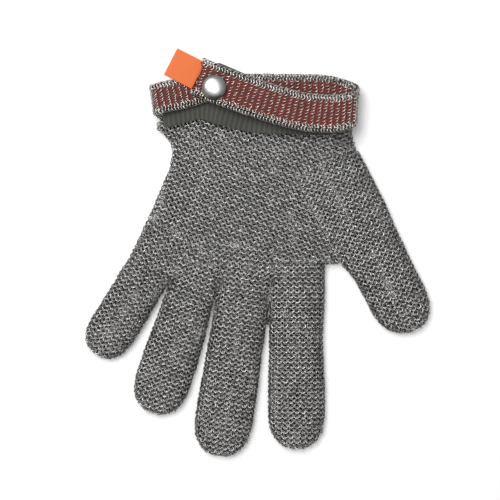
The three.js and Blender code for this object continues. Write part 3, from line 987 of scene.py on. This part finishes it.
def plate(name, length, width, thickness, place, turn, corner=0.0, bow=0.0):
    clear_selection()
    bpy.ops.mesh.primitive_plane_add(size=1)
    piece = bpy.context.object
    piece.name = name
    for vertex in piece.data.vertices:
        vertex.co = Vector(((vertex.co.x + 0.5) * length, vertex.co.y * width, 0)) * MM
    bpy.ops.object.mode_set(mode="EDIT")
    if corner:
        bpy.ops.mesh.select_all(action="DESELECT")
        bpy.ops.object.mode_set(mode="OBJECT")
        for vertex in piece.data.vertices:
            vertex.select = vertex.co.x < NEAR_END * MM
        bpy.ops.object.mode_set(mode="EDIT")
        bpy.ops.mesh.bevel(offset=corner * MM, segments=CORNER_STEPS, affect="VERTICES")
    bpy.ops.mesh.select_all(action="SELECT")
    bpy.ops.mesh.extrude_region_move(TRANSFORM_OT_translate={"value": (0, 0, thickness * MM)})
    bpy.ops.mesh.select_all(action="SELECT")
    bpy.ops.mesh.normals_make_consistent(inside=False)
    bpy.ops.object.mode_set(mode="OBJECT")
    if bow:
        bpy.ops.object.mode_set(mode="EDIT")
        bpy.ops.mesh.subdivide(number_cuts=BOW_CUTS)
        bpy.ops.object.mode_set(mode="OBJECT")
        for vertex in piece.data.vertices:
            x, y = vertex.co.x / MM / length, vertex.co.y / MM / width * 2
            vertex.co.z += bow * MM * (4 * x * (1 - x)) * (1 - y * y)
    layer = piece.data.uv_layers.active or piece.data.uv_layers.new(name="UVMap")
    for loop in piece.data.loops:
        co = piece.data.vertices[loop.vertex_index].co
        layer.data[loop.index].uv = (co.x / MM / MM_PER_CM, co.y / MM / MM_PER_CM)
    spot = Matrix.Translation(Vector(in_plan(*place, TONGUE_LEVEL)) * MM)
    piece.data.transform(spot @ Matrix.Rotation(math.radians(turn), 4, "Z"))
    apply_modifier(piece, "BEVEL", width=thickness * PLATE_EDGE * MM, segments=2, limit_method="ANGLE",
                   angle_limit=math.radians(50))
    bpy.ops.object.shade_smooth_by_angle(angle=math.radians(40))
    return piece


LAYER_GAP = 0.3
TONGUE_LEVEL = LOOP_RISE + STRAP_THICKNESS + LAYER_GAP
TONGUE_THICKNESS = 1.0
tongue = plate("tongue_webbing", length=40, width=20, thickness=TONGUE_THICKNESS,
               place=(0.264, 0.444), turn=-23.6, corner=6)
finish_piece(tongue, GREY_WEB, "grey_textile", "closure_tongue")
tab = plate("tab_tape", length=20.5, width=19.5, thickness=0.8,
            place=(0.083, 0.782), turn=-27, bow=0.2)
finish_piece(tab, ORANGE, "orange_tape", "pull_tab")

# %% [markdown]
# ## The press stud
# The cap is a pressed dome with a rolled edge on a short post. A low cylinder makes the edge. Its
# upper face is inset again and again while it rises, each step a little flatter than the one
# before. The lower face is inset once and drawn down for the post. The backing is a flat disc
# whose post points up, towards the one of the cap.

# %% Build the stud
STUD = in_plan(*STUD_PLACE, 0.0)
POST_RADIUS = 2.2
CAP_GAP, CAP_POST_LIFT = 0.6, 0.5
BACKING_DROP, BACKING_POST_LIFT = 1.6, 0.2
STUD_SIDES = 72
STUD_EDGE = 0.28
SAME_LEVEL, LEVEL_ENOUGH = 0.02, 0.9


def select_facing(piece, sign, level):
    """Selects the flat face at a level that looks up or down."""
    bpy.ops.object.mode_set(mode="EDIT")
    bpy.ops.mesh.select_all(action="DESELECT")
    bpy.ops.object.mode_set(mode="OBJECT")
    for polygon in piece.data.polygons:
        right_way = polygon.normal.z * sign > LEVEL_ENOUGH
        polygon.select = right_way and abs(polygon.center.z / MM - level) < SAME_LEVEL
    bpy.ops.object.mode_set(mode="EDIT")
    bpy.ops.mesh.select_mode(type="FACE")


def turned_disc(name, radius, base, rim, rise, post_end, steps):
    clear_selection()
    bpy.ops.mesh.primitive_cylinder_add(
        vertices=STUD_SIDES, radius=radius * MM, depth=rim * MM,
        location=(STUD[0] * MM, STUD[1] * MM, (base + rim / 2) * MM))
    piece = bpy.context.object
    piece.name = name
    bpy.ops.object.transform_apply(location=True)
    select_facing(piece, 1, base + rim)
    for step in range(1, steps + 1):
        a, b = (math.pi / 2 * s / (steps + 1) for s in (step - 1, step))
        shrink = radius * (math.cos(a) - math.cos(b))
        bpy.ops.mesh.inset(thickness=shrink * MM, depth=rise * (math.sin(b) - math.sin(a)) * MM)
    bpy.ops.object.mode_set(mode="OBJECT")
    side = -1 if post_end < base else 1
    start = base if side < 0 else base + rim
    select_facing(piece, side, start)
    bpy.ops.mesh.inset(thickness=(radius - POST_RADIUS) * MM, depth=0)
    post = (0, 0, (post_end - start) * MM)
    bpy.ops.mesh.extrude_region_move(TRANSFORM_OT_translate={"value": post})
    bpy.ops.object.mode_set(mode="OBJECT")
    apply_modifier(piece, "BEVEL", width=STUD_EDGE * MM, segments=3, limit_method="ANGLE",
                   angle_limit=math.radians(50))
    bpy.ops.object.shade_smooth_by_angle(angle=math.radians(45))
    return piece


outer_top = TONGUE_LEVEL + TONGUE_THICKNESS + LAYER_GAP + STRAP_THICKNESS
cap = turned_disc("stud_cap", radius=8.15, base=outer_top + CAP_GAP, rim=0.9, rise=CAP_RISE,
                  post_end=TONGUE_LEVEL + CAP_POST_LIFT, steps=9)
finish_piece(cap, SATIN, "satin_steel", "snap_cap")
backing = turned_disc("stud_backing", radius=5.2, base=LOOP_RISE - BACKING_DROP, rim=1.0, rise=0.0,
                      post_end=TONGUE_LEVEL + BACKING_POST_LIFT, steps=0)
finish_piece(backing, SATIN, "satin_steel", "snap_backing")

# %% [markdown]
# ## Floor, sky and a dark card
# The glove lies on a white surface, and a pale sky gives the steel something bright to reflect.
# Polished steel also needs something dark, or it looks like white plastic. A black card, which
# stands outside the picture below the fingertips, gives rings and cap their dark lower edges.

# %% Set the stage
FLOOR_SIZE = 6.0
CARD_WIDTH, CARD_HEIGHT = 1.3, 0.75
CARD_ASIDE, CARD_AWAY, CARD_LIFT = 0.1, -0.60, 0.02

clear_selection()
bpy.ops.mesh.primitive_plane_add(size=FLOOR_SIZE)
floor = bpy.context.object
floor.name = "floor"
paper = Finish("white_floor")
floor.data.materials.append(paper.surface(Base_Color=(0.93, 0.93, 0.93, 1), Roughness=0.9))

clear_selection()
bpy.ops.mesh.primitive_plane_add(size=1)
card = bpy.context.object
card.name = "dark_card"
for vertex in card.data.vertices:
    beside = vertex.co.x * CARD_WIDTH + CARD_ASIDE
    above = (vertex.co.y + 0.5) * CARD_HEIGHT + CARD_LIFT
    vertex.co = Vector((beside, CARD_AWAY, above))
black = Finish("black_card")
card.data.materials.append(black.surface(Base_Color=(0.01, 0.01, 0.01, 1), Roughness=0.9))
card.visible_camera = False

world = bpy.data.worlds.new("studio")
bpy.context.scene.world = world
world.use_nodes = True
sky = world.node_tree.nodes["Background"]
sky.inputs["Color"].default_value = (1, 1, 1, 1)
sky.inputs["Strength"].default_value = 0.42
print("stage:", floor.name, card.name, world.name)

# %% [markdown]
# ## Lamps and camera
# A large lamp at the upper left makes the soft shadows to the right, and a smaller, weaker one
# overhead puts small lights on the top of the rings. The camera looks straight down, and its long
# lens keeps the glove's outline nearly free of perspective.

# %% Set up lamps and camera
CAMERA_HEIGHT = 1.1


def lamp(name, place, size, power):
    data = bpy.data.lights.new(name, "AREA")
    data.size = size
    data.energy = power
    item = bpy.data.objects.new(name, data)
    bpy.context.collection.objects.link(item)
    item.location = place
    item.rotation_euler = (-Vector(place)).to_track_quat("-Z", "Y").to_euler()


lamp("key", place=(-0.50, 0.55, 1.45), size=1.0, power=23)
lamp("top", place=(0.1, -0.1, 1.7), size=0.6, power=5)

camera_data = bpy.data.cameras.new("camera")
camera_data.lens = 118.7
camera_data.sensor_width = 36
camera_data.clip_end = 20
camera = bpy.data.objects.new("camera", camera_data)
bpy.context.collection.objects.link(camera)
camera.location = (SHIFT[0] * MM, SHIFT[1] * MM, CAMERA_HEIGHT)
bpy.context.scene.camera = camera
bpy.context.scene.view_settings.view_transform = "Standard"

# The two rings that served as patterns are no pieces of the glove
for shape in (FINE_RING, PLAIN_RING):
    bpy.data.objects.remove(shape)
print("camera at", [round(v, 3) for v in camera.location])
